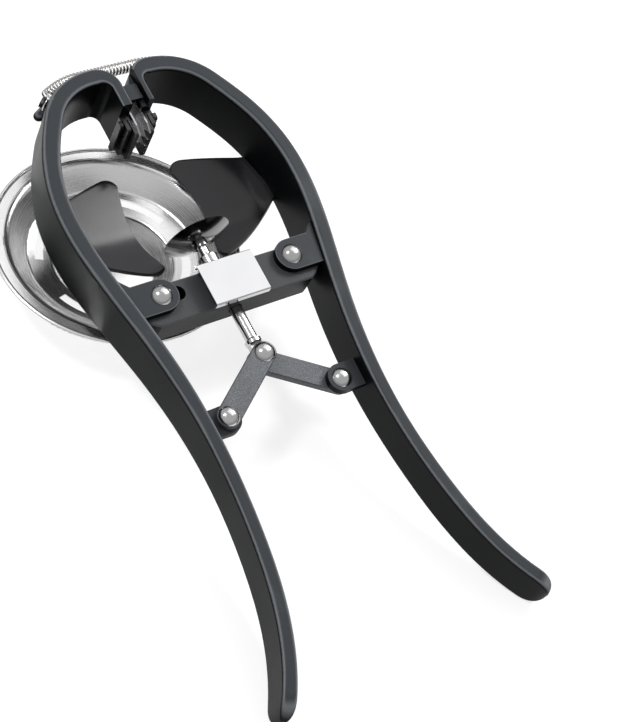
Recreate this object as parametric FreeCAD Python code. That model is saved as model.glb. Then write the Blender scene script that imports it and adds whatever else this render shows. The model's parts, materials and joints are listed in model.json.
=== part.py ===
"""Squeeze-handle opener with a spring, toggle links and plunger, laid across its dish.

The tool is modelled lying flat: X across, Y from the handles to the jaws, Z up, with
the middle of the crossbar at its origin. At the end the whole tool is tipped so that
its handle ends stand on the table and its left arm lies on the rim of the dish, and
the set is moved so that the origin is the middle of its footprint on the table.
Lengths are in millimetres.
"""
import FreeCAD, Part
import math
import os

Vec = FreeCAD.Vector

# Arm strip seen from above (right arm, the left one is its mirror image)
WALL = 6.2
HANDLE_WALL = 4.8
LEG_WALL = 3.8
CROWN_X = 11.0
CROWN_Y = 62.4
CROWN_R = 22.4
CROWN_SWEEP = 60.0
LEG_X = 4.2
LEG_END_Y = 71.0
CORNER_R = 5.6
SIDE_POINTS = [
    (39.1, 56.5),
    (42.8, 38.0),
    (39.8, 8.5),
    (34.2, -20.0),
    (31.6, -50.0),
    (33.7, -83.0),
    (40.6, -113.0),
    (47.8, -128.0),
]
SIDE_SECTIONS = 15
NOSE_LENGTH = 7.4

# Arm strip seen from the side
HEAD_TOP = 10.0
HEAD_BOTTOM = -11.5
HANDLE_TOP = 6.0
HANDLE_BOTTOM = -9.5
TAPER_FROM_Y = 30.0
TAPER_TO_Y = -75.0
RIM_ROUND = 1.5

# Pivots of the arms on the crossbar
PIVOT_X = 25.0
PIVOT_Y = 2.7
LUG_R = 5.9
LUG_THICK = 2.6
LUG_ROUND = 0.5
GUSSET = 8.0
PIVOT_SHANK_R = 1.9
PIVOT_HEAD_R = 3.7
PIVOT_HEAD_H = 2.1
RIVET_FOOT_R = 2.9
RIVET_FOOT_H = 0.9

# Crossbar and the chrome cap on its boss
BAR_Y = 0.3
BAR_HALF_DEPTH = 7.0
BAR_TOP = 4.8
BAR_BOTTOM = -6.0
BAR_END_R = 10.2
BAR_CHAMFER = 0.5
BOSS_HALF_WIDTH = 8.4
BOSS_TOP = 8.8
SLOT_X = -18.4
SLOT_R = 2.6
SLOT_DEPTH = 5.0
CAP_HALF_WIDTH = 10.3
CAP_SHEET = 0.8
CAP_LIP = 1.5

# Plunger
ROD_R = 2.25
EYE_Y = -25.6
EYE_R = 4.0
EYE_THICK = 2.6
COLLAR_LENGTH = 2.2
NECK_R = 1.6
NECK_START_Y = 13.5
DISC_Y = 19.2
DISC_R = 12.0
DISC_SAG = 2.6
DISC_SHEET = 1.0
HUB_R = 2.6
HUB_LENGTH = 1.6
BUSH_R = 3.6
BUSH_PROUD = 6.6
BUSH_INSET = 5.0

# Toggle links and their ears on the arms
LINK_PIN_X = 22.3
LINK_PIN_Y = -41.9
LINK_HALF_WIDTH = 4.0
LINK_THICK = 2.6
EAR_R = 5.0
EAR_ROOT = 8.0
LINK_SHANK_R = 1.6
LINK_HEAD_R = 3.6
LINK_HEAD_H = 2.0

# Cradle wings between the arms
WING_SHEET = 1.4
WING_TOP_Y = 58.4
WING_INNER_TOP_X = 10.8
WING_INNER_WAIST_X = 13.6
WING_INNER_WAIST_Y = 39.0
WING_LOW_X = 12.0
WING_LOW_Y = 17.8
WING_WALL_Y = 32.0
WING_BEND_Y = 30.0
WING_BEND_R = 16.0
WING_RISE = 13.0
WING_RIDGE_X = 34.6
WING_SAG = 1.0
WING_FLANGE = 4.2
WING_ROUND = 5.0
WING_LOW_ROUND = 3.0

# Jaws: tooth blocks, blades and the tab that bridges them
TOOTH_TOP = 3.4
TOOTH_WIDTH = 1.35
TOOTH_BASE = 1.6
TOOTH_STEP_X = 1.8
TOOTH_STEP_Y = 2.3
TOOTH_DROP = 0.9
BLADE_SHEET = 0.6
BLADE_BACK = 4.0
BLADE_REACH = 8.6
BLADE_TOP = 4.4
BLADE_BOTTOM = -7.0
BLADE_CLAW = 3.4
BLADE_HOOK = 1.5
TAB_TOP = 8.2
TAB_THICK = 1.8
TAB_REACH = 3.4
TAB_Y0 = 73.4
TAB_Y1 = 79.4

# Return spring, its pegs and the guard ledges below it
SPRING_Z = 2.2
SPRING_R = 2.6
WIRE = 0.8
SPRING_TURNS = 36
SPRING_END_ANGLE = 59.0
PEG_ANGLE = 52.0
PEG_R = 1.5
PEG_HEAD_R = 2.1
PEG_HEAD_H = 1.0
HOOK_R = 2.3
HOOK_LIFT = 0.3
LEDGE_REACH = 4.6
LEDGE_THICK = 3.6
LEDGE_FROM = 57.0
LEDGE_TO = 84.0

# Separator dish, a loose piece that the tool lies on
DISH_R = 43.0
DISH_H = 18.0
DISH_SHEET = 0.8
DISH_BASE_R = 16.5
CUP_R = 21.0
CUP_H = 8.0
STEP_R = 30.0
STEP_H = 9.6
SHOULDER_R = 37.0
BEAD_R = 0.9
DISH_SLOTS = 4
DISH_SLOT_SWEEP = 52.0
DISH_SLOT_WIDTH = 3.0
DISH_X = -18.0
DISH_Y = 39.0

# Fits
RUN = 0.05
FACE_GAP = 0.1
OPEN_PIVOT_GAP = 0.65
SEAT_GAP = 0.3
SPRING_GAP = 0.35


def box(x0, x1, y0, y1, z0, z1):
    """Block between two corners."""
    return Part.makeBox(x1 - x0, y1 - y0, z1 - z0, Vec(x0, y0, z0))


def upright(x, y, z0, z1, radius):
    """Cylinder standing along Z."""
    return Part.makeCylinder(radius, z1 - z0, Vec(x, y, z0), Vec(0, 0, 1))


def along_y(y0, y1, radius, x=0.0, z=0.0):
    """Cylinder lying along Y."""
    return Part.makeCylinder(radius, y1 - y0, Vec(x, y0, z), Vec(0, 1, 0))


def prism(points, z0, z1):
    """Upright prism on a closed outline seen from above."""
    corners = [Vec(x, y, z0) for x, y in points]
    face = Part.Face(Part.makePolygon(corners + corners[:1]))
    return face.extrude(Vec(0, 0, z1 - z0))


def mirror(shape):
    """The other side's copy."""
    return shape.mirror(Vec(0, 0, 0), Vec(1, 0, 0))


def fuse(shapes):
    """One clean solid from touching ones."""
    return shapes[0].fuse(shapes[1:]).removeSplitter()


def upright_edges(shape, keep):
    """Straight edges along Z whose foot passes the test keep(x, y)."""
    chosen = []
    for edge in shape.Edges:
        a = edge.Vertexes[0].Point
        b = edge.Vertexes[-1].Point
        if math.hypot(a.x - b.x, a.y - b.y) < 1e-6 and abs(a.z - b.z) > 1e-3 and keep(a.x, a.y):
            chosen.append(edge)
    return chosen


def smooth_step(value):
    """0 to 1 with level ends."""
    t = min(1.0, max(0.0, value))
    return t * t * (3 - 2 * t)


def arm_size(y):
    """Rim width, top and bottom of the strip at a place along Y."""
    head = smooth_step((y - TAPER_TO_Y) / (TAPER_FROM_Y - TAPER_TO_Y))
    width = HANDLE_WALL + (WALL - HANDLE_WALL) * head
    top = HANDLE_TOP + (HEAD_TOP - HANDLE_TOP) * head
    bottom = HANDLE_BOTTOM + (HEAD_BOTTOM - HANDLE_BOTTOM) * head
    return width, top, bottom


def strip_section(point, tangent, width, top, bottom):
    """Upright section across the strip, with rounded rims."""
    side = Vec(-tangent.y, tangent.x, 0).normalize()
    half = width / 2
    rounding = RIM_ROUND * min(width, top - bottom) / WALL

    def place(u, z):
        return Vec(point.x, point.y, z) + side * u

    edges = []
    corners = [(1, top, -1), (1, bottom, 1), (-1, bottom, 1), (-1, top, -1)]
    for number, (way, z, inward) in enumerate(corners):
        level = place(way * (half - rounding), z)
        wall = place(way * half, z + inward * rounding)
        turn = rounding * (1 - math.sqrt(0.5))
        middle = place(way * (half - turn), z + inward * turn)
        first, last = (level, wall) if number % 2 == 0 else (wall, level)
        edges.append(Part.Arc(first, middle, last).toShape())
    closed = []
    for edge, after in zip(edges, edges[1:] + edges[:1]):
        closed.append(edge)
        closed.append(Part.makeLine(edge.valueAt(edge.LastParameter), after.valueAt(after.FirstParameter)))
    return Part.Wire(closed)


def side_curve():
    """Middle line of the strip from the end of the crown to the handle end."""
    angle = math.radians(90 - CROWN_SWEEP)
    start = Vec(CROWN_X + CROWN_R * math.cos(angle), CROWN_Y + CROWN_R * math.sin(angle), 0)
    points = [start] + [Vec(x, y, 0) for x, y in SIDE_POINTS]
    heading_in = Vec(math.sin(angle), -math.cos(angle), 0)
    headings = [heading_in] + [Vec(0, 0, 0)] * len(SIDE_POINTS)
    given = [True] + [False] * len(SIDE_POINTS)
    curve = Part.BSplineCurve()
    curve.interpolate(Points=points, Tangents=headings, TangentFlags=given)
    return curve


SIDE_EDGE = side_curve().toShape()


def side_x(y, side=0.0):
    """X of the strip's middle, or of a face of it, where it passes Y."""
    low = SIDE_EDGE.FirstParameter
    high = SIDE_EDGE.LastParameter
    for _ in range(40):
        middle = (low + high) / 2
        if SIDE_EDGE.valueAt(middle).y > y:
            low = middle
        else:
            high = middle
    return SIDE_EDGE.valueAt(low).x + side * arm_size(y)[0] / 2


def arm_strip():
    """Leg, corner, crown, side and rounded handle end of the right arm."""
    width, top, bottom = arm_size(CROWN_Y)
    top_point = Vec(CROWN_X, CROWN_Y + CROWN_R, 0)
    crown_section = strip_section(top_point, Vec(1, 0, 0), width, top, bottom)
    crown = Part.Face(crown_section).revolve(Vec(CROWN_X, CROWN_Y, 0), Vec(0, 0, 1), -CROWN_SWEEP)

    corner_y = CROWN_Y + CROWN_R - CORNER_R
    corner_x = LEG_X + CORNER_R
    bend = [crown_section]
    for number in range(5):
        turn = math.radians(90 * number / 4)
        heading = Vec(math.cos(turn), math.sin(turn), 0)
        place = Vec(corner_x - CORNER_R * math.sin(turn), corner_y + CORNER_R * math.cos(turn), 0)
        here = width + (LEG_WALL - width) * number / 4
        bend.append(strip_section(place, heading, here, top, bottom))
    corner = Part.makeLoft(bend, True, False)
    leg = Part.Face(bend[-1]).extrude(Vec(0, LEG_END_Y - corner_y, 0))

    sections = []
    low = SIDE_EDGE.FirstParameter
    high = SIDE_EDGE.LastParameter
    for number in range(SIDE_SECTIONS):
        place = low + (high - low) * number / (SIDE_SECTIONS - 1)
        point = SIDE_EDGE.valueAt(place)
        sections.append(strip_section(point, SIDE_EDGE.tangentAt(place), *arm_size(point.y)))
    side = Part.makeLoft(sections, True, False)

    end_point = SIDE_EDGE.valueAt(SIDE_EDGE.LastParameter)
    end_heading = SIDE_EDGE.tangentAt(SIDE_EDGE.LastParameter)
    width, top, bottom = arm_size(end_point.y)
    middle = (top + bottom) / 2
    nose_sections = []
    for share in (0.0, 0.25, 0.5, 0.7, 0.85, 0.94, 0.985):
        tall = (top - bottom) / 2 * math.sqrt(1 - share ** 2)
        slim = width * math.sqrt(1 - share ** 4)
        place = end_point + end_heading * (NOSE_LENGTH * share)
        nose_sections.append(strip_section(place, end_heading, slim, middle + tall, middle - tall))
    nose = Part.makeLoft(nose_sections, True, False)
    return fuse([leg, corner, crown, side, nose])


def pivot_lug():
    """Rounded plate from the arm to its pivot, with a gusset behind it."""
    z0 = BAR_TOP + FACE_GAP
    z1 = z0 + LUG_THICK
    root = side_x(PIVOT_Y)
    plate = box(PIVOT_X, root, PIVOT_Y - LUG_R, PIVOT_Y + LUG_R, z0, z1)
    end = upright(PIVOT_X, PIVOT_Y, z0, z1, LUG_R)
    edge_y = PIVOT_Y + LUG_R
    wall_x = side_x(edge_y + GUSSET)
    web = prism([(wall_x - GUSSET, edge_y - 1), (wall_x, edge_y - 1), (wall_x, edge_y + GUSSET)], z0, z1)
    lug = fuse([plate, end])
    rims = [e for e in lug.Edges if e.BoundBox.ZMin > z1 - 0.01 and e.BoundBox.XMin < root - 0.01]
    return [lug.makeFillet(LUG_ROUND, rims), web]


def link_ear():
    """Rounded plate from the arm to the outer pin of its link."""
    half = EYE_THICK / 2
    root = side_x(LINK_PIN_Y)
    end = upright(LINK_PIN_X, LINK_PIN_Y, -half, half, EAR_R)
    neck = prism(
        [
            (LINK_PIN_X, LINK_PIN_Y - EAR_R),
            (root, LINK_PIN_Y - EAR_ROOT * 0.6),
            (root, LINK_PIN_Y + EAR_ROOT * 0.6),
            (LINK_PIN_X, LINK_PIN_Y + EAR_R),
        ],
        -half,
        half,
    )
    return [end, neck]


def crown_point(angle, radius, z=0.0):
    """Point at an angle and radius about the centre of the right crown."""
    turn = math.radians(angle)
    return Vec(CROWN_X + radius * math.cos(turn), CROWN_Y + radius * math.sin(turn), z)


def spring_peg():
    """Headed peg that takes a hook of the return spring."""
    wall = CROWN_R + WALL / 2
    outward = (crown_point(PEG_ANGLE, 1.0) - crown_point(PEG_ANGLE, 0.0)).normalize()
    foot = crown_point(PEG_ANGLE, wall - 1.0, SPRING_Z)
    length = 1.0 + SPRING_GAP + HOOK_LIFT + WIRE + SPRING_GAP
    shank = Part.makeCylinder(PEG_R, length, foot, outward)
    head = Part.makeCylinder(PEG_HEAD_R, PEG_HEAD_H, foot + outward * length, outward)
    return [shank, head]


def guard_ledge():
    """Rounded ledge round the outside of the crown, under the spring."""
    wall = CROWN_R + WALL / 2
    middle = wall + LEDGE_REACH - LEDGE_THICK / 2
    z0 = HEAD_BOTTOM + 0.4
    start = crown_point(LEDGE_FROM, wall - 1.0, z0)
    across = crown_point(LEDGE_FROM, middle, z0)
    top_start = start + Vec(0, 0, LEDGE_THICK)
    top_across = across + Vec(0, 0, LEDGE_THICK)
    outward = (across - start).normalize()
    nose = across + outward * (LEDGE_THICK / 2) + Vec(0, 0, LEDGE_THICK / 2)
    profile = Part.Wire([
        Part.LineSegment(start, across).toShape(),
        Part.Arc(across, nose, top_across).toShape(),
        Part.LineSegment(top_across, top_start).toShape(),
        Part.LineSegment(top_start, start).toShape(),
    ])
    body = Part.Face(profile).revolve(Vec(CROWN_X, CROWN_Y, 0), Vec(0, 0, 1), LEDGE_TO - LEDGE_FROM)
    ends = []
    for angle in (LEDGE_FROM, LEDGE_TO):
        tip = crown_point(angle, middle, z0 + LEDGE_THICK / 2)
        ends.append(Part.makeSphere(LEDGE_THICK / 2, tip))
    return [body] + ends


def plain_arm():
    """Everything that the two arms share, as the right arm."""
    arm = fuse([arm_strip()] + pivot_lug() + link_ear() + spring_peg() + guard_ledge())
    arm = arm.cut(upright(PIVOT_X, PIVOT_Y, BAR_TOP, HEAD_TOP, PIVOT_SHANK_R + RUN))
    return arm.cut(upright(LINK_PIN_X, LINK_PIN_Y, -EYE_THICK, EYE_THICK, LINK_SHANK_R))


def left_arm(plain):
    """Left arm with the tab that bridges the jaws."""
    face_x = -(LEG_X - LEG_WALL / 2)
    tab = box(face_x - 1.5, TAB_REACH, TAB_Y0, TAB_Y1, TAB_TOP - TAB_THICK, TAB_TOP)
    tab = tab.makeChamfer(0.4, [e for e in tab.Edges if e.BoundBox.XMin > TAB_REACH - 0.01])
    return fuse([mirror(plain), tab])


def right_arm(plain):
    """Right arm with the pocket that the tab lies in."""
    floor = TAB_TOP - TAB_THICK - SEAT_GAP
    pocket = box(0, TAB_REACH + SEAT_GAP * 2, LEG_END_Y - 1, CROWN_Y + CROWN_R + WALL, floor, HEAD_TOP + 1)
    return plain.cut(pocket)


def tooth_block():
    """Stepped ribs on the end of the right leg, closing to a beak with the left ones."""
    inner = LEG_X - LEG_WALL / 2
    outer = LEG_X + LEG_WALL / 2
    foot = HEAD_BOTTOM + 0.6
    base = box(inner, outer, LEG_END_Y - TOOTH_BASE, LEG_END_Y, foot, TOOTH_TOP)
    parts = [base]
    for number in range(3):
        x0 = inner + number * TOOTH_STEP_X
        y0 = LEG_END_Y - TOOTH_BASE - (3 - number) * TOOTH_STEP_Y
        rib = box(x0, x0 + TOOTH_WIDTH, y0, LEG_END_Y - TOOTH_BASE, foot - TOOTH_DROP, TOOTH_TOP)
        front = [e for e in rib.Edges if e.BoundBox.YMax < y0 + 0.01 and e.BoundBox.XLength > 1]
        parts.append(rib.makeFillet(1.1, front))
    return fuse(parts)


def blade():
    """Thin plate with three claws, on the inner face of the right leg."""
    x1 = LEG_X - LEG_WALL / 2
    back = LEG_END_Y + BLADE_BACK
    tip = LEG_END_Y - BLADE_REACH
    root = tip + BLADE_CLAW
    step = (BLADE_TOP - BLADE_BOTTOM) / 3
    outline = [(back, BLADE_BOTTOM), (back, BLADE_TOP), (root, BLADE_TOP)]
    for number in range(3):
        claw_top = BLADE_TOP - number * step
        outline.append((tip, claw_top - BLADE_HOOK))
        outline.append((tip + BLADE_HOOK, claw_top - step * 0.6))
        outline.append((root, claw_top - step))
    corners = [Vec(x1 - BLADE_SHEET, y, z) for y, z in outline]
    face = Part.Face(Part.makePolygon(corners + corners[:1]))
    return face.extrude(Vec(BLADE_SHEET, 0, 0))


def wing(arm):
    """Bent cradle plate inside the right arm, flanged against its wall."""
    wall_x = side_x(WING_WALL_Y + 6) + WALL
    base_z = HEAD_BOTTOM + WING_SHEET
    inner_x = 0.0
    ridge = Vec(WING_RIDGE_X, 0, base_z)
    low = Vec((WING_RIDGE_X + inner_x) / 2, 0, base_z - WING_SAG)
    inner = Vec(inner_x, 0, base_z)
    flange = Vec(wall_x, 0, base_z + WING_FLANGE)
    drop = Vec(0, 0, -WING_SHEET)
    profile = Part.Wire([
        Part.Arc(inner, low, ridge).toShape(),
        Part.LineSegment(ridge, flange).toShape(),
        Part.LineSegment(flange, flange + drop).toShape(),
        Part.LineSegment(flange + drop, ridge + drop).toShape(),
        Part.Arc(ridge + drop, low + drop, inner + drop).toShape(),
        Part.LineSegment(inner + drop, inner).toShape(),
    ])
    rise = math.radians(WING_RISE)
    far = WING_TOP_Y + 5
    flat_end = WING_BEND_Y + WING_BEND_R * math.tan(rise / 2)
    centre = Vec(0, flat_end, base_z + WING_BEND_R)
    half_turn = centre + Vec(0, -math.sin(rise / 2), -math.cos(rise / 2)) * WING_BEND_R
    bend_end = centre + Vec(0, -math.sin(rise), -math.cos(rise)) * WING_BEND_R
    low_end = bend_end + Vec(0, -math.cos(rise), math.sin(rise)) * WING_BEND_Y
    path = Part.Wire([
        Part.makeLine(Vec(0, far, base_z), Vec(0, flat_end, base_z)),
        Part.Arc(Vec(0, flat_end, base_z), half_turn, bend_end).toShape(),
        Part.makeLine(bend_end, low_end),
    ])
    profile.translate(Vec(0, far, 0))
    sheet = path.makePipe(Part.Face(profile))
    waist = Part.Arc(
        Vec(WING_INNER_TOP_X, WING_TOP_Y, 0),
        Vec(WING_INNER_WAIST_X, WING_INNER_WAIST_Y, 0),
        Vec(WING_LOW_X, WING_LOW_Y, 0),
    ).toShape()
    corners = [
        Vec(WING_LOW_X, WING_LOW_Y, 0),
        Vec(side_x(WING_WALL_Y), WING_WALL_Y, 0),
        Vec(wall_x, WING_WALL_Y + 1, 0),
        Vec(wall_x, WING_TOP_Y, 0),
        Vec(WING_INNER_TOP_X, WING_TOP_Y, 0),
    ]
    outline = Part.Wire([waist] + [Part.makeLine(a, b) for a, b in zip(corners, corners[1:])])
    plan = Part.Face(outline).extrude(Vec(0, 0, 60))
    plan.translate(Vec(0, 0, -30))
    plan = plan.makeFillet(WING_ROUND, upright_edges(plan, lambda x, y: x < WING_RIDGE_X and y > WING_BEND_Y))
    plan = plan.makeFillet(WING_LOW_ROUND, upright_edges(plan, lambda x, y: x < WING_RIDGE_X and y < WING_BEND_Y))
    plate = sheet.common(plan).cut(arm)
    inside = [s for s in plate.Solids if s.CenterOfMass.x < side_x(s.CenterOfMass.y)]
    return max(inside, key=lambda s: s.Volume)


def dome_rivet(x, y, z_top, z_foot, shank_r, head_r, head_h):
    """Rivet with a domed head above and a flat closing head below."""
    ball_r = (head_r ** 2 + head_h ** 2) / (2 * head_h)
    ball = Part.makeSphere(ball_r, Vec(x, y, z_top + head_h - ball_r))
    head = ball.common(upright(x, y, z_top, z_top + head_h + 1, head_r + 1))
    shank = upright(x, y, z_foot, z_top, shank_r)
    foot = upright(x, y, z_foot - RIVET_FOOT_H, z_foot, max(RIVET_FOOT_R, shank_r + 1.0))
    return fuse([head, shank, foot])


def crossbar():
    """Moulded bar with rounded ends, a raised boss and the holes for pins and rod."""
    y0 = BAR_Y - BAR_HALF_DEPTH
    y1 = BAR_Y + BAR_HALF_DEPTH
    reach = PIVOT_X + BAR_END_R
    bar = box(-reach, reach, y0, y1, BAR_BOTTOM, BAR_TOP)
    middle = box(-PIVOT_X, PIVOT_X, y0, y1, BAR_BOTTOM, BAR_TOP)
    ends = [upright(side * PIVOT_X, PIVOT_Y, BAR_BOTTOM, BAR_TOP, BAR_END_R) for side in (-1, 1)]
    bar = bar.common(middle.fuse(ends)).removeSplitter()
    rims = [e for e in bar.Edges if e.BoundBox.ZLength < 1e-6]
    bar = bar.makeChamfer(BAR_CHAMFER, rims)
    boss = box(-BOSS_HALF_WIDTH, BOSS_HALF_WIDTH, y0, y1, BAR_TOP - 1, BOSS_TOP)
    bar = fuse([bar, boss])
    for side in (-1, 1):
        bar = bar.cut(upright(side * PIVOT_X, PIVOT_Y, BAR_BOTTOM - 1, BAR_TOP + 1, PIVOT_SHANK_R))
    bar = bar.cut(upright(SLOT_X, PIVOT_Y, BAR_TOP - SLOT_DEPTH, BAR_TOP + 1, SLOT_R))
    bar = bar.cut(along_y(y0 - 1, y1 + 1, ROD_R + SEAT_GAP))
    return bar.cut(along_y(y1 - BUSH_INSET, y1 + 1, BUSH_R))


def cap():
    """Sheet plate on the boss, with a lip folded down at the front and the back."""
    y0 = BAR_Y - BAR_HALF_DEPTH
    y1 = BAR_Y + BAR_HALF_DEPTH
    half = CAP_HALF_WIDTH
    skin = CAP_SHEET
    outer = box(-half, half, y0 - skin, y1 + skin, BOSS_TOP - CAP_LIP, BOSS_TOP + skin)
    top = BOSS_TOP + skin - 0.01
    folds = [e for e in outer.Edges if e.BoundBox.XLength > 2 * half - 0.01 and e.BoundBox.ZMin > top]
    outer = outer.makeFillet(skin * 0.7, folds)
    return outer.cut(box(-half - 1, half + 1, y0, y1, BOSS_TOP - CAP_LIP - 1, BOSS_TOP))


def guide_bush():
    """Bush pressed into the bar, in which the rod slides."""
    y1 = BAR_Y + BAR_HALF_DEPTH
    bush = along_y(y1 - BUSH_INSET, y1 + BUSH_PROUD, BUSH_R)
    lip = [e for e in bush.Edges if e.BoundBox.YMin > y1 + BUSH_PROUD - 0.01 and e.Closed]
    bush = bush.makeChamfer(0.5, lip)
    return bush.cut(along_y(y1 - BUSH_INSET - 1, y1 + BUSH_PROUD + 1, ROD_R + RUN))


def plunger_rod():
    """Rod with a flattened eye at the links and a thin neck at the disc."""
    half = EYE_THICK / 2
    shank_start = EYE_Y + EYE_R + 0.6
    eye = upright(0, EYE_Y, -half, half, EYE_R)
    tongue = box(-ROD_R, ROD_R, EYE_Y, shank_start + 1, -half, half)
    collar = along_y(shank_start, shank_start + COLLAR_LENGTH, ROD_R + 0.7)
    collar = collar.makeChamfer(0.5, [e for e in collar.Edges if e.Closed])
    shank = along_y(shank_start, NECK_START_Y, ROD_R)
    neck = along_y(NECK_START_Y, DISC_Y, NECK_R)
    rod = fuse([eye, tongue, collar, shank, neck])
    return rod.cut(upright(0, EYE_Y, -half - 1, half + 1, LINK_SHANK_R))


def plunger_disc():
    """Shallow sheet cup on the end of the rod, with a hub at its back."""
    ball_r = (DISC_R ** 2 + DISC_SAG ** 2) / (2 * DISC_SAG)
    centre = Vec(0, DISC_Y + ball_r, 0)
    outer = Part.makeSphere(ball_r, centre, Vec(0, 1, 0))
    inner = Part.makeSphere(ball_r - DISC_SHEET, centre, Vec(0, 1, 0))
    cup = outer.cut(inner).common(along_y(DISC_Y - 1, DISC_Y + DISC_SAG, DISC_R + 1))
    hub = along_y(DISC_Y - HUB_LENGTH, DISC_Y + DISC_SHEET / 2, HUB_R)
    cup = fuse([cup, hub])
    return cup.cut(along_y(DISC_Y - HUB_LENGTH - 1, DISC_Y, NECK_R))


def link(side, z_middle):
    """Flat bar from the plunger's eye to the ear of one arm."""
    z0 = z_middle - LINK_THICK / 2
    z1 = z_middle + LINK_THICK / 2
    start = Vec(0, EYE_Y, 0)
    end = Vec(side * LINK_PIN_X, LINK_PIN_Y, 0)
    along = (end - start).normalize()
    across = Vec(-along.y, along.x, 0) * LINK_HALF_WIDTH
    outline = [start + across, end + across, end - across, start - across]
    bar = prism([(p.x, p.y) for p in outline], z0, z1)
    rounds = [upright(p.x, p.y, z0, z1, LINK_HALF_WIDTH) for p in (start, end)]
    bar = fuse([bar] + rounds)
    rims = [e for e in bar.Edges if e.BoundBox.ZLength < 1e-6 and e.BoundBox.ZMin > z1 - 0.01]
    bar = bar.makeChamfer(0.3, rims)
    bar = bar.cut(upright(start.x, start.y, z0 - 1, z1 + 1, LINK_SHANK_R + RUN))
    return bar.cut(upright(end.x, end.y, z0 - 1, z1 + 1, LINK_SHANK_R + OPEN_PIVOT_GAP))


def biarc(p0, t0, p1, t1):
    """Two arcs that join smoothly from one point and heading to another."""
    chord = p1 - p0
    both = t0 + t1
    spread = 2 * (1 - t0.dot(t1))
    reach = chord.dot(both)
    if spread < 1e-9:
        arm = chord.dot(chord) / (4 * chord.dot(t1))
    else:
        arm = (math.sqrt(reach * reach + spread * chord.dot(chord)) - reach) / spread
    corner0 = p0 + t0 * arm
    corner1 = p1 - t1 * arm
    joint = (corner0 + corner1) * 0.5
    edges = []
    for start, corner, end in ((p0, corner0, joint), (joint, corner1, p1)):
        middle = (start + end) * 0.5
        half = (end - start).Length / 2
        rise = corner - middle
        if rise.Length < 1e-7:
            edges.append(Part.makeLine(start, end))
            continue
        bulge = half * math.tan(math.atan2(rise.Length, half) / 2)
        edges.append(Part.Arc(start, middle + rise.normalize() * bulge, end).toShape())
    return edges


def spring_line(distance):
    """Middle of the spring at a distance from the mid-plane, its heading and outward side."""
    radius = CROWN_R + WALL / 2 + SPRING_GAP + SPRING_R + WIRE / 2
    side = 1.0 if distance >= 0 else -1.0
    far = abs(distance)
    if far <= CROWN_X:
        point = Vec(distance, CROWN_Y + radius, SPRING_Z)
        return point, Vec(1, 0, 0), Vec(0, 1, 0)
    turn = (far - CROWN_X) / radius
    out = Vec(side * math.sin(turn), math.cos(turn), 0)
    point = Vec(side * CROWN_X, CROWN_Y, SPRING_Z) + out * radius
    return point, Vec(out.y, -out.x, 0), out


def return_spring():
    """Coil over the crowns with a hook round the peg at each end, as one wire."""
    radius = CROWN_R + WALL / 2 + SPRING_GAP + SPRING_R + WIRE / 2
    half_length = CROWN_X + radius * math.radians(90 - SPRING_END_ANGLE)
    peg_far = CROWN_X + radius * math.radians(90 - PEG_ANGLE)
    up = Vec(0, 0, 1)

    def coil_point(share):
        point, _, out = spring_line(half_length * (2 * share - 1))
        turn = 2 * math.pi * SPRING_TURNS * share
        return point + (up * math.cos(turn) + out * math.sin(turn)) * SPRING_R

    def coil_heading(share):
        nudge = 1e-6
        return (coil_point(share + nudge) - coil_point(share - nudge)).normalize()

    def hook(side):
        middle, ahead, out = spring_line(side * peg_far)
        middle = middle - out * (SPRING_R - HOOK_LIFT)
        ahead = ahead * side
        knots = []
        for quarter in range(4):
            turn = math.radians(90 * quarter)
            place = middle + (up * math.cos(turn) + ahead * math.sin(turn)) * HOOK_R
            heading = ahead * math.cos(turn) - up * math.sin(turn)
            knots.append((place, heading))
        return knots

    knots = [(place, heading * -1) for place, heading in reversed(hook(-1))]
    steps = SPRING_TURNS * 4
    for step in range(steps + 1):
        knots.append((coil_point(step / steps), coil_heading(step / steps)))
    knots += hook(1)
    edges = []
    for (p0, t0), (p1, t1) in zip(knots, knots[1:]):
        edges += biarc(p0, t0, p1, t1)
    path = Part.Wire(edges)
    start, heading = knots[0]
    ring = Part.Wire([Part.Circle(start, heading, WIRE / 2).toShape()])
    tube = path.makePipeShell([ring], True, False)
    report_gap(edges)
    return tube


def report_gap(edges):
    """Least gap of the wire to itself, measured on points of its middle line."""
    points = []
    run = 0.0
    for edge in edges:
        for number in range(4):
            place = edge.getParameterByLength(edge.Length * number / 4)
            points.append((run + edge.Length * number / 4, edge.valueAt(place)))
        run += edge.Length
    least = 1e9
    for number, (along, point) in enumerate(points):
        for far, other in points[number + 1:]:
            if far - along > 6 * WIRE:
                least = min(least, (other - point).Length)
    print("spring wire length %.1f mm, least gap to itself %.2f mm" % (run, least - WIRE))


def bent_profile(corners, radii, offset):
    """Edges of an offset line through corners with rounded bends, in the XZ plane."""
    headings = [(b - a).normalize() for a, b in zip(corners, corners[1:])]
    sides = [Vec(-h.z, 0, h.x) * offset for h in headings]
    points = [corners[0] + sides[0]]
    for number in range(1, len(corners) - 1):
        bisector = (sides[number - 1] + sides[number])
        stretch = 2 * offset * offset / bisector.dot(bisector)
        points.append(corners[number] + bisector * stretch)
    points.append(corners[-1] + sides[-1])
    edges = []
    start = points[0]
    for number in range(1, len(points) - 1):
        before = headings[number - 1]
        after = headings[number]
        turn = math.atan2(before.x * after.z - before.z * after.x, before.dot(after))
        radius = radii[number - 1] - math.copysign(1, turn) * offset
        cut = abs(math.tan(turn / 2)) * radius
        arc_start = points[number] - before * cut
        arc_end = points[number] + after * cut
        middle = (arc_start + arc_end) * 0.5
        inward = (middle - points[number]).normalize()
        centre = points[number] + inward * (radius / math.cos(turn / 2))
        edges.append(Part.makeLine(start, arc_start))
        edges.append(Part.Arc(arc_start, centre - inward * radius, arc_end).toShape())
        start = arc_end
    edges.append(Part.makeLine(start, points[-1]))
    return edges, points[0], points[-1]


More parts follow.
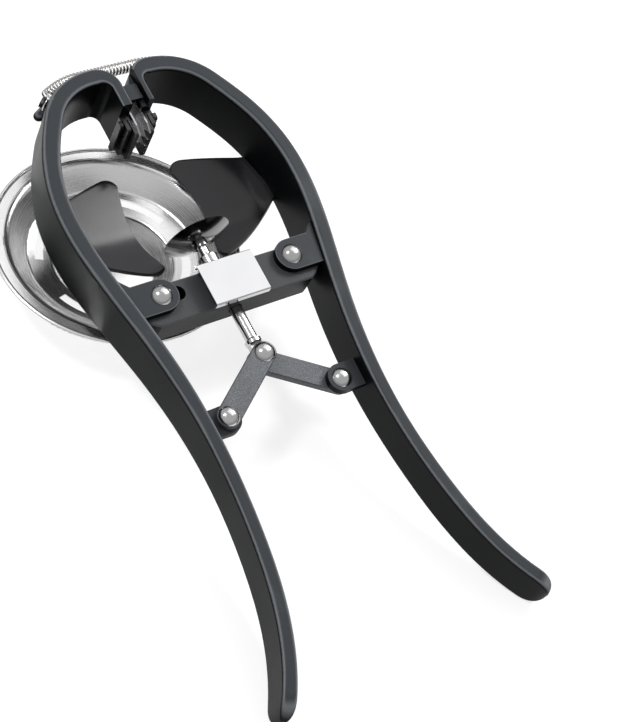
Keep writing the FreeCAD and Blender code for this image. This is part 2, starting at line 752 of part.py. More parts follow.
def separator_dish():
    """Pressed dish: cup, slotted step, bowl wall and flange with a beaded edge."""
    half = DISH_SHEET / 2
    corners = [
        Vec(0, 0, half),
        Vec(DISH_BASE_R, 0, half),
        Vec(CUP_R, 0, CUP_H),
        Vec(STEP_R, 0, STEP_H),
        Vec(SHOULDER_R, 0, DISH_H - half - 0.6),
        Vec(DISH_R - BEAD_R, 0, DISH_H - half - 0.6),
    ]
    radii = [3.0, 1.6, 2.4, 3.4]
    upper, upper_start, upper_end = bent_profile(corners, radii, half)
    lower, lower_start, lower_end = bent_profile(corners, radii, -half)
    rim = Part.makeLine(upper_end, lower_end)
    axis = Part.makeLine(lower_start, upper_start)
    profile = Part.Face(Part.Wire(Part.__sortEdges__(upper + lower + [rim, axis])))
    dish = profile.revolve(Vec(0, 0, 0), Vec(0, 0, 1), 360)
    bead = Part.makeTorus(DISH_R - BEAD_R, BEAD_R, Vec(0, 0, DISH_H - BEAD_R))
    dish = fuse([dish, bead])
    slot_r = (CUP_R + STEP_R) / 2
    for number in range(DISH_SLOTS):
        start = 360.0 * number / DISH_SLOTS + 20
        ring = Part.makeCylinder(slot_r + DISH_SLOT_WIDTH / 2, DISH_H, Vec(0, 0, 1), Vec(0, 0, 1), DISH_SLOT_SWEEP)
        core = Part.makeCylinder(slot_r - DISH_SLOT_WIDTH / 2, DISH_H, Vec(0, 0, 1), Vec(0, 0, 1), DISH_SLOT_SWEEP)
        slot = ring.cut(core)
        slot.rotate(Vec(0, 0, 0), Vec(0, 0, 1), start)
        dish = dish.cut(slot)
    return dish


def lean_angle():
    """Tilt at which the handle ends touch the table and the left arm meets the dish's rim."""
    touch_x = side_x(0, -1)
    touch_y = DISH_Y - math.sqrt(DISH_R ** 2 - (touch_x + DISH_X) ** 2)
    reach = touch_y - SIDE_POINTS[-1][1]
    drop = arm_size(touch_y)[2] - arm_size(SIDE_POINTS[-1][1])[2]
    rise = DISH_H + SEAT_GAP
    angle = math.asin(rise / reach)
    for _ in range(20):
        angle = math.asin((rise - drop * math.cos(angle)) / reach)
    return angle


def extent(shapes):
    """Close box round shapes."""
    whole = FreeCAD.BoundBox()
    for shape in shapes:
        whole.add(shape.optimalBoundingBox(False, False))
    return whole


def build():
    """All pieces of the set by name, standing on the table."""
    plain = plain_arm()
    right = right_arm(plain)
    left = left_arm(plain)
    right_wing = wing(plain)
    left_link_z = EYE_THICK / 2 + FACE_GAP + LINK_THICK / 2
    lug_top = BAR_TOP + FACE_GAP + LUG_THICK
    link_top = left_link_z + LINK_THICK / 2
    pivot = dome_rivet(PIVOT_X, PIVOT_Y, lug_top + RUN, BAR_BOTTOM, PIVOT_SHANK_R, PIVOT_HEAD_R, PIVOT_HEAD_H)
    pin = (LINK_SHANK_R, LINK_HEAD_R, LINK_HEAD_H)
    tool = {
        "crossbar": crossbar(),
        "chrome_cap": cap(),
        "guide_bush": guide_bush(),
        "right_pivot_rivet": pivot,
        "left_pivot_rivet": mirror(pivot),
        "plunger_rod": plunger_rod(),
        "plunger_disc": plunger_disc(),
        "centre_rivet": dome_rivet(0, EYE_Y, link_top + RUN, -link_top - RUN, *pin),
        "left_link": link(-1, left_link_z),
        "right_link": link(1, -left_link_z),
        "left_arm": left,
        "right_arm": right,
        "left_wing": mirror(right_wing),
        "right_wing": right_wing,
        "left_tooth_block": mirror(tooth_block()),
        "right_tooth_block": tooth_block(),
        "left_blade": mirror(blade()),
        "right_blade": blade(),
        "left_link_rivet": dome_rivet(-LINK_PIN_X, LINK_PIN_Y, link_top + RUN, -EYE_THICK / 2, *pin),
        "right_link_rivet": dome_rivet(LINK_PIN_X, LINK_PIN_Y, EYE_THICK / 2, -link_top - RUN, *pin),
        "return_spring": return_spring(),
    }
    angle = lean_angle()
    for shape in tool.values():
        shape.rotate(Vec(0, 0, 0), Vec(1, 0, 0), math.degrees(angle))
    low = extent([tool["left_arm"], tool["right_arm"]]).ZMin
    for shape in tool.values():
        shape.translate(Vec(0, 0, -low))
    dish = separator_dish()
    dish.translate(Vec(DISH_X, DISH_Y, 0))
    pieces = dict(tool, separator_dish=dish)
    whole = extent(pieces.values())
    shift = Vec(-whole.Center.x, -whole.Center.y, -whole.ZMin)
    for shape in pieces.values():
        shape.translate(shift)
    print("lean %.3f degrees, tool origin at %.3f %.3f %.3f" % (
        math.degrees(angle), shift.x, shift.y, shift.z - low))
    print("dish centre at %.3f %.3f" % (DISH_X + shift.x, DISH_Y + shift.y))
    print("size %.1f x %.1f x %.1f mm" % (whole.XLength, whole.YLength, whole.ZLength))
    return pieces


def main():
    os.makedirs("parts", exist_ok=True)
    for name, shape in build().items():
        shape.exportStep("parts/%s.step" % name)
        print("%-20s %d solid, %9.1f mm3, valid %s" % (
            name, len(shape.Solids), shape.Volume, shape.isValid()))


main()
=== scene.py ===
# %% [markdown]
# # A squeeze-handle opener and its dish
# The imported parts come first. They are fixed, in metres, and already stand where
# they belong. This script gives them their finishes, adds the pieces that a plain
# solid can't show well, and sets up floor, lights and camera.

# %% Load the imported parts
import json
import math

import bmesh
import bpy
from mathutils import Matrix, Vector


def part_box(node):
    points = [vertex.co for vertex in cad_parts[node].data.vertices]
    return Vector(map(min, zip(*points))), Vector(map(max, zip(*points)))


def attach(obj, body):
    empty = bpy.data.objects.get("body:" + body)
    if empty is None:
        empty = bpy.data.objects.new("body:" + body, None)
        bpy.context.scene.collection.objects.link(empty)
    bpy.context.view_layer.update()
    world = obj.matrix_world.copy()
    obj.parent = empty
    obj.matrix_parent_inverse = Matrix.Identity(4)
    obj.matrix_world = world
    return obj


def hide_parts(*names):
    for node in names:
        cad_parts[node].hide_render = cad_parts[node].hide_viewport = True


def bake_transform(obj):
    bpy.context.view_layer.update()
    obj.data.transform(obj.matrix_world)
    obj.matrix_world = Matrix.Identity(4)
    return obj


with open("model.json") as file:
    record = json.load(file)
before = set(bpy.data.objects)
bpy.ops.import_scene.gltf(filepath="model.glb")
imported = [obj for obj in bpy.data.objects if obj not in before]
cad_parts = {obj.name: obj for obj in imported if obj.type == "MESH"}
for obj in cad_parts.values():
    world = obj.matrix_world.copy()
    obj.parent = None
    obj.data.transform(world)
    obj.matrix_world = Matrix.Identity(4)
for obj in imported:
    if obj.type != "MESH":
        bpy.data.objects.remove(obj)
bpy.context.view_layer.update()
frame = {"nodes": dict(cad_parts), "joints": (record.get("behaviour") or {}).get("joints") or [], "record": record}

print("packed nodes:", len(frame["nodes"]))

# %% [markdown]
# The tool lies with its handle ends on the table and its left arm on the rim of the
# dish, so it leans a little. Its own axes could be typed in, but they are read from
# its joints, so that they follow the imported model: the hinges give its up, and the
# plunger gives the way from the handles to the jaws. A helper then turns millimetres
# on the tool into a place in the scene.

# %% The tool's own axes
PIVOT_Y = 2.7

joints = {joint["name"]: joint for joint in frame["joints"]}
tool_up = Vector(joints["left_arm_hinge"]["axis"])
tool_ahead = Vector(joints["plunger_slide"]["axis"])
left_pivot = Vector(joints["left_arm_hinge"]["pos_m"])
right_pivot = Vector(joints["right_arm_hinge"]["pos_m"])
tool_across = (right_pivot - left_pivot).normalized()
tool_origin = (left_pivot + right_pivot) / 2 - tool_ahead * PIVOT_Y / 1000

TOOL = Matrix((tool_across, tool_ahead, tool_up)).transposed().to_4x4()
TOOL.translation = tool_origin


def on_tool(x, y, z):
    """Place in the scene of a point given in millimetres on the tool."""
    return TOOL @ (Vector((x, y, z)) / 1000)


print("pivots are %.1f mm apart" % ((right_pivot - left_pivot).length * 1000))

# %% [markdown]
# The camera looks down from in front of the tool and from its left. A constraint
# could aim it, but a matrix built from three directions also takes the roll that
# lays the tool across the picture, so its place and its turn are set in one step.

# %% Camera
CAMERA_AT = on_tool(-242.2, -178.8, 440.0)
AIM_AT = on_tool(18.6, -33.7, 0)
CAMERA_ROLL = 29.0
LENS = 80.5
SENSOR_WIDTH = 36

view_axis = (AIM_AT - CAMERA_AT).normalized()
level_up = (tool_ahead - view_axis * tool_ahead.dot(view_axis)).normalized()
camera_up = Matrix.Rotation(math.radians(CAMERA_ROLL), 3, view_axis) @ level_up
camera_right = view_axis.cross(camera_up)

camera = bpy.data.objects.new("camera", bpy.data.cameras.new("camera"))
camera.data.lens = LENS
camera.data.sensor_width = SENSOR_WIDTH
camera.data.clip_start = 0.01
camera.matrix_world = Matrix.Translation(CAMERA_AT) @ Matrix(
    (camera_right, camera_up, -view_axis)
).transposed().to_4x4()
bpy.context.scene.collection.objects.link(camera)
bpy.context.scene.camera = camera
print("camera is %.0f mm away" % ((CAMERA_AT - AIM_AT).length * 1000))

# %% [markdown]
# A finish is a net of shader nodes. Written node by node it is long and hard to read,
# so a small class wraps one output socket: a sum on it adds a Math node, and one
# method adds any other kind of node.

# %% Shader maths
class Shade:
    """An output socket of a material that can be used in sums."""

    def __init__(self, tree, socket=None):
        self.tree = tree
        self.socket = socket

    def node(self, kind, settings, values, out=0):
        """Adds a node with its settings and inputs, and gives one of its outputs."""
        made = self.tree.nodes.new(kind)
        for key, value in settings.items():
            if key == "stops":
                set_stops(made.color_ramp, value)
            else:
                setattr(made, key, value)
        for key, value in values.items():
            self.feed(made.inputs[key], value)
        return Shade(self.tree, made.outputs[out])

    def feed(self, target, value):
        """Links a wrapped socket to an input, or writes a plain value there."""
        if isinstance(value, Shade):
            self.tree.links.new(value.socket, target)
        else:
            target.default_value = value

    def math(self, operation, first, second):
        return self.node("ShaderNodeMath", {"operation": operation}, {0: first, 1: second})

    def __add__(self, other):
        return self.math("ADD", self, other)

    def __sub__(self, other):
        return self.math("SUBTRACT", self, other)

    def __rsub__(self, other):
        return self.math("SUBTRACT", other, self)

    def __mul__(self, other):
        return self.math("MULTIPLY", self, other)

    __radd__ = __add__
    __rmul__ = __mul__


def set_stops(ramp, stops):
    """Places the stops of a colour ramp: pairs of position and colour."""
    while len(ramp.elements) < len(stops):
        ramp.elements.new(1.0)
    for element, (position, colour) in zip(ramp.elements, stops):
        element.position = position
        element.color = (*colour, 1)


print("sums of sockets: add, subtract, multiply")

# %% [markdown]
# Every finish starts in the same way: a Principled shader whose constant values are
# written on its sockets, and the object's own coordinates in metres, on which the
# patterns are drawn. Object coordinates keep a pattern at its real size, where
# coordinates from the bounding box would stretch it from piece to piece.

# %% Starting a finish
def new_finish(name, **constants):
    """A material with one Principled shader: gives it, the shader and the coordinates."""
    material = bpy.data.materials.new(name)
    material.use_nodes = True
    tree = material.node_tree
    shader = tree.nodes["Principled BSDF"]
    for key, value in constants.items():
        shader.inputs[key.replace("_", " ")].default_value = value
    place = Shade(tree).node("ShaderNodeTexCoord", {}, {}, out="Object")
    return material, shader, place


def noise(place, scale, detail=2.0, roughness=0.5):
    """Soft random pattern, about 0.5 in the middle; scale is in patches per metre."""
    values = {"Vector": place, "Scale": scale, "Detail": detail, "Roughness": roughness}
    return place.node("ShaderNodeTexNoise", {}, values)


def blend_colours(amount, first, second):
    """Mix of two colours; a Mix node's sockets 0, 6 and 7 are its factor and colours."""
    values = {0: amount, 6: (*first, 1), 7: (*second, 1)}
    return amount.node("ShaderNodeMix", {"data_type": "RGBA"}, values, out=2)


def stretch(value, low, high):
    """Brings a pattern's useful range to 0..1, clipped at both ends."""
    values = {"Value": value, "From Min": low, "From Max": high}
    return value.node("ShaderNodeMapRange", {"clamp": True}, values)


def bump(height, depth):
    """Normal for a height pattern; depth is in metres."""
    values = {"Height": height, "Distance": depth, "Strength": 1.0}
    return height.node("ShaderNodeBump", {}, values)


print("helpers: noise, blend_colours, stretch, bump")

# %% [markdown]
# The arms are moulded in a charcoal plastic, and the light on them is painted into its
# colour. Their walls face sideways and are painted in deep shade, nearly black, their
# top faces have a dull grain and are painted paler as if lit from above, and the rounded
# rims between the two carry a painted highlight line. Three materials would need the
# mesh to be cut up, so one ramp on how far a face looks up gives all three, and small
# noises break it up.

# %% Charcoal moulding, with painted light and shade
# Stops on the ramp of painted light: painted shade on walls, painted highlight on rims, paler lit tops.
WALL_UNTIL = 0.40
RIM_FROM = 0.74
RIM_UNTIL = 0.86
TOP_FROM = 0.98


def moulded_finish(name, wall, rim, top, rough, gloss, grain_scale, grain_depth):
    """Moulded plastic with painted light: shaded walls, a painted rim highlight, paler lit tops."""
    material, shader, place = new_finish(name, Specular_IOR_Level=gloss)
    cloud = stretch(noise(place, scale=40, detail=3), low=0.3, high=0.7)
    grain = noise(place, scale=grain_scale, detail=2)
    facing = place.node("ShaderNodeNewGeometry", {}, {}, out="Normal")
    pair = {0: facing, 1: tuple(tool_up)}
    upright = place.node("ShaderNodeVectorMath", {"operation": "DOT_PRODUCT"}, pair, out="Value")
    # Painted light: how far a face looks up sets shade, highlight or lit top; the noises add random tone.
    painted_light_level = upright + cloud * 0.06 + grain * 0.04 - 0.05
    stops = [(0.0, wall), (WALL_UNTIL, wall), (RIM_FROM, rim), (RIM_UNTIL, rim), (TOP_FROM, top)]
    colour = place.node("ShaderNodeValToRGB", {"stops": stops}, {"Fac": painted_light_level}, out="Color")
    place.feed(shader.inputs["Base Color"], colour)
    place.feed(shader.inputs["Roughness"], cloud * 0.08 + grain * 0.1 + (rough - 0.09))
    place.feed(shader.inputs["Normal"], bump(grain, grain_depth))
    return material


# Each finish: painted-shade wall colour, painted rim highlight colour, paler lit top colour.
arm_plastic = moulded_finish(
    "arm plastic", (0.003, 0.0035, 0.004), (0.15, 0.16, 0.172), (0.040, 0.044, 0.049),
    rough=0.36, gloss=0.06, grain_scale=2600, grain_depth=0.00002,
)
bar_plastic = moulded_finish(
    "bar plastic", (0.003, 0.003, 0.004), (0.10, 0.105, 0.11), (0.050, 0.053, 0.057),
    rough=0.44, gloss=0.12, grain_scale=1500, grain_depth=0.00006,
)
tooth_plastic = moulded_finish(
    "tooth plastic", (0.005, 0.005, 0.006), (0.02, 0.02, 0.022), (0.012, 0.012, 0.013),
    rough=0.26, gloss=0.4, grain_scale=1200, grain_depth=0.00003,
)
wing_plastic = moulded_finish(
    "wing plastic", (0.004, 0.004, 0.005), (0.007, 0.007, 0.008), (0.009, 0.009, 0.011),
    rough=0.20, gloss=0.30, grain_scale=900, grain_depth=0.000005,
)
print("plastics:", arm_plastic.name, bar_plastic.name, tooth_plastic.name, wing_plastic.name)

# %% [markdown]
# The rivets, the rod, the cap, the blades and the spring are polished. One grey metal
# would look like plastic paint, so each has a slight cloudiness and scratches that
# are hardly seen, and they differ in colour and in how far they were polished.

# %% Polished metals
def polished_finish(name, colour, rough, wear):
    """Bright metal with a slight cloudiness and fine random scratches."""
    material, shader, place = new_finish(name, Metallic=1.0)
    cloud = stretch(noise(place, scale=60, detail=2), low=0.3, high=0.7)
    fine = noise(place, scale=3000, detail=3, roughness=0.7)
    dull = tuple(0.94 * channel for channel in colour)
    place.feed(shader.inputs["Base Color"], blend_colours(cloud, dull, colour))
    place.feed(shader.inputs["Roughness"], cloud * wear + fine * wear + (rough - wear * 0.8))
    place.feed(shader.inputs["Normal"], bump(fine, depth=0.0000004))
    return material


cap_chrome = polished_finish("cap chrome", (0.64, 0.64, 0.65), rough=0.05, wear=0.02)
polished_steel = polished_finish("polished steel", (0.60, 0.60, 0.60), rough=0.17, wear=0.04)
spring_steel = polished_finish("spring steel", (0.56, 0.55, 0.54), rough=0.24, wear=0.06)
# Painted reflection: the disc's darker steel stands for the dark inside of the tool that it mirrors.
disc_steel = polished_finish("disc steel", (0.20, 0.20, 0.20), rough=0.14, wear=0.05)
blade_steel = polished_finish("blade steel", (0.36, 0.36, 0.37), rough=0.20, wear=0.08)
polished = (cap_chrome, polished_steel, spring_steel, disc_steel, blade_steel)
print("polished:", ", ".join(metal.name for metal in polished))

# %% [markdown]
# The two links are cast and were only tumbled, so they stay dark and speckled. The
# speckles could be modelled as dents, but at a third of a millimetre a noise that
# drives colour, sheen and a small bump together shows the same.

# %% Cast links
LINK_DARK = (0.045, 0.048, 0.053)
LINK_LIGHT = (0.155, 0.162, 0.175)


def cast_finish(name):
    """Dark cast metal, speckled with lighter grains."""
    material, shader, place = new_finish(name, Metallic=0.55)
    grains = stretch(noise(place, scale=3200, detail=3, roughness=0.65), low=0.36, high=0.74)
    cloud = noise(place, scale=120, detail=3)
    colour = blend_colours(grains * 0.8 + cloud * 0.2, LINK_DARK, LINK_LIGHT)
    place.feed(shader.inputs["Base Color"], colour)
    place.feed(shader.inputs["Roughness"], 0.56 - grains * 0.16)
    place.feed(shader.inputs["Normal"], bump(grains, depth=0.00005))
    return material


link_metal = cast_finish("link metal")
print("cast metal:", link_metal.name)

# %% [markdown]
# The dish was spun over a form, so its fine lines run round its middle. The Wave
# texture has rings too, but they are too even. Here a noise is read at the distance
# from the dish's axis and at the height, which draws it out into rings of uneven
# strength.

# %% Spun dish
DISH_DARK = (0.78, 0.78, 0.78)
DISH_LIGHT = (0.93, 0.93, 0.93)


def spun_finish(name, centre):
    """Satin steel with fine lines round an upright axis through centre."""
    material, shader, place = new_finish(name, Metallic=1.0)
    shift = {"Vector": place, "Location": (-centre.x, -centre.y, 0)}
    own = place.node("ShaderNodeMapping", {}, shift)
    flat = place.node("ShaderNodeVectorMath", {"operation": "MULTIPLY"}, {0: own, 1: (1, 1, 0)})
    radius = place.node("ShaderNodeVectorMath", {"operation": "LENGTH"}, {0: flat}, out="Value")
    height = place.node("ShaderNodeSeparateXYZ", {}, {0: own}, out="Z")
    turned = place.node("ShaderNodeCombineXYZ", {}, {0: radius, 1: height, 2: 0.0})
    lines = noise(turned, scale=2600, detail=3, roughness=0.6)
    broad = noise(own, scale=60, detail=3)
    colour = blend_colours(lines * 0.7 + broad * 0.3, DISH_DARK, DISH_LIGHT)
    place.feed(shader.inputs["Base Color"], colour)
    place.feed(shader.inputs["Roughness"], 0.20 + lines * 0.12)
    place.feed(shader.inputs["Normal"], bump(lines, depth=0.00002))
    return material


dish_low, dish_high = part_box("separator_dish")
dish_steel = spun_finish("dish steel", (dish_low + dish_high) / 2)
print("the dish is %.0f mm wide" % ((dish_high - dish_low).x * 1000))

# %% [markdown]
# Each imported node takes the finish of its own material slot, so the list is short:
# slot names come from the record, and this table says which finish stands for each.
# The plunger's disc mirrors the dark inside of the tool, and that dark reflection is
# painted into it: it gets a darker steel than the rod it sits on.

# %% Finishes on the imported parts
FINISHES = {
    "arm_plastic": arm_plastic,
    "bar_plastic": bar_plastic,
    "tooth_plastic": tooth_plastic,
    "wing_plastic": wing_plastic,
    "cap_chrome": cap_chrome,
    "polished_steel": polished_steel,
    "spring_steel": spring_steel,
    "blade_steel": blade_steel,
    "link_metal": link_metal,
    "dish_steel": dish_steel,
}

for part in frame["record"]["subparts"]:
    node = frame["nodes"][part["node"]]
    node.data.materials.clear()
    node.data.materials.append(FINISHES[part["material_slot"]])
# The disc takes the darker steel that carries its painted reflection.
frame["nodes"]["plunger_disc"].data.materials[0] = disc_steel
print("finishes:", len(FINISHES))

# %% [markdown]
# The two wings of the cradle are thin bent plates. Their edges are free curves, and
# their faces tilt to the middle and turn up towards the bar. Cutting a flat plate and
# bending it afterwards would take several tools. A grid is simpler: its points are
# moved to the outline and to their height by small formulas, in millimetres on the
# tool. The first formula is the height.

# %% Height of a wing
WING_LOW_X = 11
WING_LOW_Z = -13.0
WING_SLOPE = 0.125
WING_RIDGE_X = 34.6
WING_FLANGE_SLOPE = 0.3
WING_BEND_Y = 31.0
WING_BEND_HALF = 4
WING_TURN_UP = 0.25


def wing_height(x, y):
    """Height of the plate's top face in millimetres."""
    height = WING_LOW_Z + WING_SLOPE * (min(x, WING_RIDGE_X) - WING_LOW_X)
    height += WING_FLANGE_SLOPE * max(0.0, x - WING_RIDGE_X)
    past = WING_BEND_Y - y
    if past > WING_BEND_HALF:
        return height + WING_TURN_UP * past
    bent = max(0.0, past + WING_BEND_HALF) ** 2 / (4 * WING_BEND_HALF)
    return height + WING_TURN_UP * bent


flat_y = WING_BEND_Y + WING_BEND_HALF
wing_rise = wing_height(WING_RIDGE_X, flat_y) - wing_height(WING_LOW_X, flat_y)
print("the plate rises %.1f mm to its ridge" % wing_rise)

# %% [markdown]
# The outline has a free edge that is hollow in the middle, a top edge that falls to
# the wall, and a lower edge that rises to it. Both free corners are rounded by a
# quarter of an ellipse, worked out as a drop from the edge.

# %% Outline of a wing
WING_TOP = 58.6
WING_TOP_FALL = 8.0
WING_TOP_POWER = 1.4
WING_TOP_ROUND = 4.5
WING_TOP_REACH = 0.22
WING_LOW = 16.6
WING_LOW_RISE = 15.5
WING_LOW_POWER = 1.6
WING_LOW_ROUND = 3.2
WING_LOW_REACH = 0.14
WING_EDGE_X = 10.5
WING_HOLLOW = 3.4
WALL_X = 39.9
WALL_WIDEST_Y = 38
WALL_IN_AHEAD = 0.2
WALL_IN_BEHIND = 0.02


def corner_drop(share, reach):
    """How far a rounded corner falls back, from 1 at the edge to 0 at its reach."""
    past = max(0.0, 1 - share / reach)
    return 1 - math.sqrt(1 - past * past)


def wing_place(across, along):
    """Place on the plate: across is 0 at the free edge and 1 at the arm's wall."""
    top = WING_TOP - WING_TOP_FALL * across ** WING_TOP_POWER
    top -= WING_TOP_ROUND * corner_drop(across, WING_TOP_REACH)
    low = WING_LOW + WING_LOW_RISE * across ** WING_LOW_POWER
    low += WING_LOW_ROUND * corner_drop(across, WING_LOW_REACH)
    y = low + (top - low) * along
    free_edge = WING_EDGE_X + WING_HOLLOW * math.sin(math.pi * along)
    wall = WALL_X - WALL_IN_AHEAD * max(0.0, y - WALL_WIDEST_Y)
    wall -= WALL_IN_BEHIND * max(0.0, WALL_WIDEST_Y - y)
    x = free_edge + (wall - free_edge) * across
    return x, y, wing_height(x, y)


print("the wing is %.0f mm long" % (WING_TOP - WING_LOW))

# %% [markdown]
# The grid's columns are drawn together at the free edge, where the corners need
# them. Its faces are turned upwards before the sheet gets its thickness, and a
# Bevel modifier breaks the sharp edges, as the mould does.

# %% The two wings
WING_SHEET = 1.4
WING_COLUMNS = 26
WING_ROWS = 30
WING_CROWDING = 1.7
WING_EDGE_BREAK = 0.3


def wing(side, arm):
    """Bent plate on the inner wall of one arm."""
    sheet = bmesh.new()
    bmesh.ops.create_grid(sheet, x_segments=WING_COLUMNS, y_segments=WING_ROWS, size=0.5)
    for corner in sheet.verts:
        across = max(0.0, min(1.0, corner.co.x + 0.5)) ** WING_CROWDING
        along = max(0.0, min(1.0, corner.co.y + 0.5))
        x, y, z = wing_place(across, along)
        corner.co = on_tool(side * x, y, z)
    sheet.normal_update()
    turned = [face for face in sheet.faces if face.normal.dot(tool_up) < 0]
    bmesh.ops.reverse_faces(sheet, faces=turned)
    bmesh.ops.solidify(sheet, geom=sheet.faces[:], thickness=WING_SHEET / 1000)
    mesh = bpy.data.meshes.new(arm.replace("_arm", "_wing_plate"))
    sheet.to_mesh(mesh)
    sheet.free()
    mesh.shade_smooth()
    mesh.materials.append(wing_plastic)
    piece = bpy.data.objects.new(mesh.name, mesh)
    bpy.context.scene.collection.objects.link(piece)
    rounding = piece.modifiers.new("edges", "BEVEL")
    rounding.width = WING_EDGE_BREAK / 1000
    rounding.segments = 2
    rounding.limit_method = "ANGLE"
    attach(piece, arm)
    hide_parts(arm.replace("_arm", "_wing"))
    print(piece.name, len(mesh.polygons), "faces")
    return piece


wing(-1, "left_arm")
wing(1, "right_arm")

# %% [markdown]
# The return spring is one steel wire, wound over both crowns and hooked on a peg at
# each end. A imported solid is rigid, and this spring stretches as the arms open, so
# two halves stand for it. First comes the line that its middle follows: straight
# between the crowns, then round each crown.

# %% The line over the crowns
CROWN_X = 11.0
CROWN_Y = 62.4
SPRING_LINE_R = 28.2
SPRING_Z = 1.4
COIL_END = 59.0
PEG_AT = 52.0


def over_crown(side, far):
    """Place on the spring's line in millimetres, its heading and its outward side."""
    turn = max(0.0, (far - CROWN_X) / SPRING_LINE_R)
    out = Vector((side * math.sin(turn), math.cos(turn), 0))
    ahead = Vector((side * math.cos(turn), -math.sin(turn), 0))
    place = Vector((side * min(far, CROWN_X), CROWN_Y, SPRING_Z)) + out * SPRING_LINE_R
    return place, ahead, out


coil_length = CROWN_X + SPRING_LINE_R * math.radians(90 - COIL_END)
peg_distance = CROWN_X + SPRING_LINE_R * math.radians(90 - PEG_AT)
print("the spring is %.0f mm long between its hooks" % (2 * coil_length))

# %% [markdown]
# The Screw modifier winds only round a straight axis, so the wire's own line is
# worked out: it turns round the line over the crown, and ends in most of a ring
# round the peg.

# %% The wound line of one half
COIL_R = 1.95
HOOK_R = 2.3
HOOK_IN = 1.7
PEG_Z = 2.2
TURNS = 20
STEPS = 16
HOOK_STEPS = 13


def wound_line(side):
    """Points of the wire in millimetres, from the middle to the hook's end."""
    up = Vector((0, 0, 1))
    points = []
    for step in range(TURNS * STEPS + 1):
        share = step / (TURNS * STEPS)
        place, ahead, out = over_crown(side, coil_length * share)
        turn = 2 * math.pi * (TURNS * share)
        points.append(place + (up * math.cos(turn) + out * side * math.sin(turn)) * COIL_R)
    place, ahead, out = over_crown(side, peg_distance)
    middle = place - out * HOOK_IN + up * (PEG_Z - SPRING_Z)
    for step in range(HOOK_STEPS):
        turn = 2 * math.pi * step / STEPS
        points.append(middle + (up * math.cos(turn) + ahead * math.sin(turn)) * HOOK_R)
    return points


print("a half has", TURNS, "turns")

# %% [markdown]
# A curve with a round bevel gives the wire its thickness and closes its ends. It is
# then made a mesh.

# %% The two halves of the spring
WIRE = 0.75


def wire_mesh(points):
    """Round wire along the points, as a mesh in the scene."""
    curve = bpy.data.curves.new("wire", "CURVE")
    curve.dimensions = "3D"
    curve.bevel_depth = WIRE / 2000
    curve.bevel_resolution = 2
    curve.use_fill_caps = True
    spline = curve.splines.new("POLY")
    spline.points.add(len(points) - 1)
    for knot, point in zip(spline.points, points):
        knot.co = (*on_tool(*point), 1)
    holder = bpy.data.objects.new("wire", curve)
    bpy.context.scene.collection.objects.link(holder)
    bpy.context.view_layer.update()
    mesh = bpy.data.meshes.new_from_object(holder)
    bpy.data.objects.remove(holder)
    mesh.shade_smooth()
    return mesh


def half_spring(side, arm):
    """Wound wire from the middle to the hook round one arm's peg."""
    mesh = wire_mesh(wound_line(side))
    mesh.materials.clear()
    mesh.materials.append(spring_steel)
    piece = bpy.data.objects.new(arm.replace("_arm", "_spring_half"), mesh)
    bpy.context.scene.collection.objects.link(piece)
    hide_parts("return_spring")
    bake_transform(piece)
    print(piece.name, len(mesh.polygons), "faces")
    return piece


half_spring(-1, "left_arm")
half_spring(1, "right_arm")

# %% [markdown]
# The floor is a large sheet. A white floor would throw much light up on the dark
# walls of the tool, so its own colour is a mid grey, and a glow that only the camera,
# mirrors and glass see makes it read as white. It still keeps the soft shadow.

# %% Floor
FLOOR_RADIUS = 20
FLOOR_GLOW = 0.72
FLOOR_DARK = (0.36, 0.36, 0.36)
FLOOR_LIGHT = (0.38, 0.38, 0.38)


def add_floor():
    """Pale floor that keeps shadows."""
    sheet = bmesh.new()
    bmesh.ops.create_circle(sheet, cap_ends=True, radius=FLOOR_RADIUS, segments=64)
    mesh = bpy.data.meshes.new("floor")
    sheet.to_mesh(mesh)
    sheet.free()
    floor = bpy.data.objects.new("floor", mesh)
    bpy.context.scene.collection.objects.link(floor)
    material, shader, place = new_finish("floor", Roughness=0.9, Emission_Color=(1, 1, 1, 1))
    colour = blend_colours(noise(place, scale=3, detail=2), FLOOR_DARK, FLOOR_LIGHT)
    place.feed(shader.inputs["Base Color"], colour)
    camera_ray = place.node("ShaderNodeLightPath", {}, {}, out="Is Camera Ray")
    mirror_ray = place.node("ShaderNodeLightPath", {}, {}, out="Is Glossy Ray")
    glass_ray = place.node("ShaderNodeLightPath", {}, {}, out="Is Transmission Ray")
    seen = place.math("MAXIMUM", camera_ray, place.math("MAXIMUM", mirror_ray, glass_ray))
    place.feed(shader.inputs["Emission Strength"], seen * FLOOR_GLOW)
    mesh.materials.append(material)
    return floor


print("floor:", add_floor().name)

# %% [markdown]
# The room is a plain grey sky. It is darker towards the horizon, because bright
# metal looks like metal only when it also mirrors something dark.

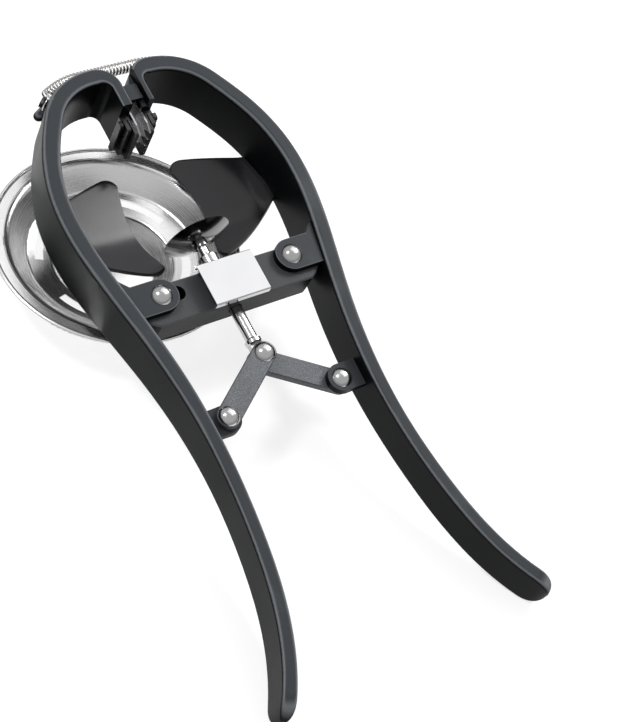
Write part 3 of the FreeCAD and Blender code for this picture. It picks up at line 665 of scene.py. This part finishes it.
# %% Room
SKY_LOW = 0.25
SKY_HIGH = 0.60

world = bpy.data.worlds.new("room")
bpy.context.scene.world = world
world.use_nodes = True
sky = Shade(world.node_tree)
direction = sky.node("ShaderNodeTexCoord", {}, {}, out="Generated")
rise = sky.node("ShaderNodeSeparateXYZ", {}, {0: direction}, out="Z")
level = stretch(rise, low=0.05, high=0.5) * (SKY_HIGH - SKY_LOW) + SKY_LOW
background = world.node_tree.nodes["Background"]
background.inputs["Color"].default_value = (1, 1, 1, 1)
sky.feed(background.inputs["Strength"], level)
bpy.context.scene.view_settings.view_transform = "Standard"
print("sky from %.2f to %.2f" % (SKY_LOW, SKY_HIGH))

# %% [markdown]
# Three soft boxes light the tool. Where a flat mirror shows a lamp follows from the
# camera: its view is turned over at the face's own up. A wide box hangs where the cap
# and the dish mirror it, a small one stands high on the left, and one on the right
# shines on the left wing.

# %% Soft boxes
table_up = Vector((0, 0, 1))
to_camera = (CAMERA_AT - AIM_AT).normalized()
cap_mirrors = tool_up * (2 * to_camera.dot(tool_up)) - to_camera
dish_mirrors = table_up * (2 * to_camera.dot(table_up)) - to_camera
right_box = (cap_mirrors + dish_mirrors + tool_across * 0.2).normalized()
left_key = Vector((-0.46, 0.29, 0.85)) * 1.2
wing_box = (tool_across * 0.70 + tool_ahead * 0.29 + tool_up * 0.65) * 1.2

LAMPS = [
    ("right box", right_box, 1.0, 0.9, 2.35),
    ("left key", left_key, 0.2, 0.2, 5),
    ("wing box", wing_box, 0.42, 0.42, 8),
]


def soft_box(name, offset, width, height, watts):
    """Rectangular lamp at an offset from the tool, aimed at it."""
    lamp = bpy.data.lights.new(name, "AREA")
    lamp.shape = "RECTANGLE"
    lamp.size = width
    lamp.size_y = height
    lamp.energy = watts
    holder = bpy.data.objects.new(name, lamp)
    holder.location = tool_origin + offset
    holder.rotation_euler = (-offset).to_track_quat("-Z", "Y").to_euler()
    bpy.context.scene.collection.objects.link(holder)
    return holder


for settings in LAMPS:
    print("lamp:", soft_box(*settings).name)
